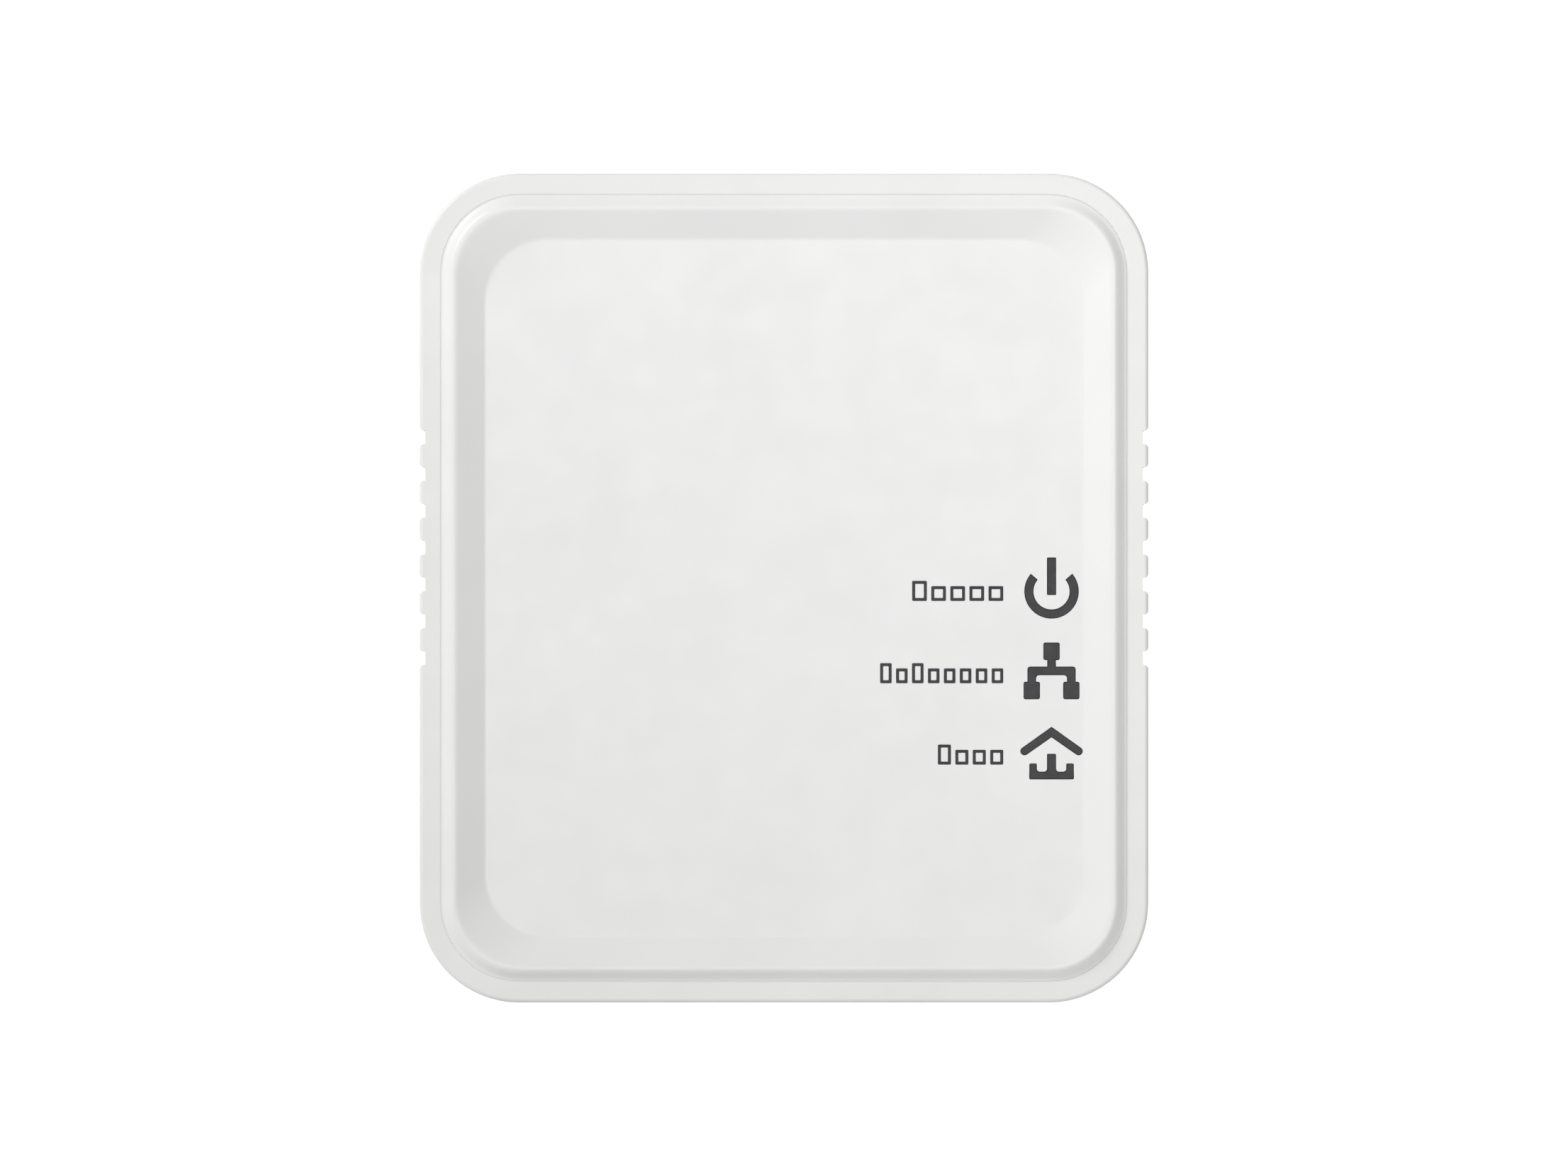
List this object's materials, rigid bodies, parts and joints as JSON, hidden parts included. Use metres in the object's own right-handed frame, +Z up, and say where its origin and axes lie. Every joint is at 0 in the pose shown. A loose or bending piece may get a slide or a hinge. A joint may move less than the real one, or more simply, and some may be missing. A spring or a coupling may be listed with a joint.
{
  "type": "powerline adapter",
  "caption": "Rounded plug-in powerline network adapter with a dished front, lit status icons, ribbed sides, a mains plug, a network jack and a pair button.",
  "frame": {"origin": "middle of the mains plug's face, between its pins", "axes": "+Y along the pins into the socket, -Y out of the front panel, +Z up the case, X across it"},
  "size_m": [0.058, 0.0646, 0.066],
  "materials": {
    "case_white": "fine satin texture",
    "panel_white": "satin",
    "button_white": "satin",
    "smoked_lens": "smooth smoked",
    "label_grey": "matte film",
    "black_plastic": "matte",
    "grey_plastic": "matte",
    "chip_black": "fine matte",
    "led_white": "smooth",
    "board_green": "solder mask",
    "insulator": "smooth film",
    "pad_blue": "soft",
    "screw_steel": "zinc plated",
    "can_metal": "bright",
    "shield_metal": "tinned",
    "aluminium": "bead blasted",
    "nickel_brass": "nickel plated",
    "gold_contact": "gold flashed",
    "tin_lead": "tinned",
    "copper_wire": "enamelled",
    "ferrite": "sintered",
    "tape_yellow": "tape",
    "fuse_brown": "moulded",
    "disc_blue": "dipped",
    "film_yellow": "moulded",
    "can_sleeve": "shrunk sleeve",
    "can_sleeve_green": "shrunk sleeve",
    "wire_brown": "extruded",
    "wire_blue": "extruded"
  },
  "bodies": {
    "adapter": {"front_panel": "panel_white", "front_shell": "case_white", "rear_shell": "case_white", "case_screws": "screw_steel", "rating_label": "label_grey", "power_icon_lens": "smoked_lens", "network_icon_lens": "smoked_lens", "home_icon_lens": "smoked_lens", "light_baffle": "black_plastic", "power_led": "led_white", "network_led": "led_white", "home_led": "led_white", "pair_switch": "grey_plastic", "reset_switch": "grey_plastic", "main_board": "board_green", "main_board_screws": "screw_steel", "plc_chip": "chip_black", "thermal_pad": "pad_blue", "heat_spreader": "aluminium", "phy_chip": "chip_black", "memory_chip": "chip_black", "flash_chip": "chip_black", "crystal": "can_metal", "lan_transformer": "chip_black", "jack_housing": "black_plastic", "jack_shield": "shield_metal", "jack_contacts": "gold_contact", "header_pins": "gold_contact", "header_spacers": "black_plastic", "insulation_sheet": "insulator", "power_board": "board_green", "power_board_screws": "screw_steel", "power_board_leads": "tin_lead", "plug_pin_left": "nickel_brass", "plug_pin_right": "nickel_brass", "pin_sleeves": "grey_plastic", "pin_carrier": "grey_plastic", "live_wire": "wire_brown", "neutral_wire": "wire_blue", "fuse": "fuse_brown", "varistor": "disc_blue", "x_capacitor": "film_yellow", "choke_core": "ferrite", "choke_windings": "copper_wire", "bridge_rectifier": "chip_black", "bulk_capacitors": "can_sleeve", "filter_inductor": "ferrite", "transformer_core": "ferrite", "transformer_bobbin": "black_plastic", "transformer_winding": "tape_yellow", "power_controller": "chip_black", "y_capacitor": "disc_blue", "optocoupler": "chip_black", "coupling_transformer": "black_plastic", "coupling_capacitor": "film_yellow", "output_diode": "chip_black", "output_capacitors": "can_sleeve_green"},
    "pair_button": {"pair_button": "button_white"},
    "pair_stem": {"pair_switch_stem": "black_plastic"},
    "reset_stem": {"reset_switch_stem": "black_plastic"}
  },
  "joints": [
    {"name": "pair_button_press", "type": "slide", "parent": "adapter", "child": "pair_button", "axis": [0, 0, 1], "range_m": [0, 0.0003]},
    {"name": "pair_stem_press", "type": "slide", "parent": "adapter", "child": "pair_stem", "axis": [0, 0, 1], "range_m": [0, 0.0003]},
    {"name": "reset_stem_press", "type": "slide", "parent": "adapter", "child": "reset_stem", "axis": [0, 0, 1], "range_m": [0, 0.00025]}
  ],
  "couplings": [
    {"joint": "pair_stem_press", "follows": "pair_button_press", "ratio": 1}
  ]
}
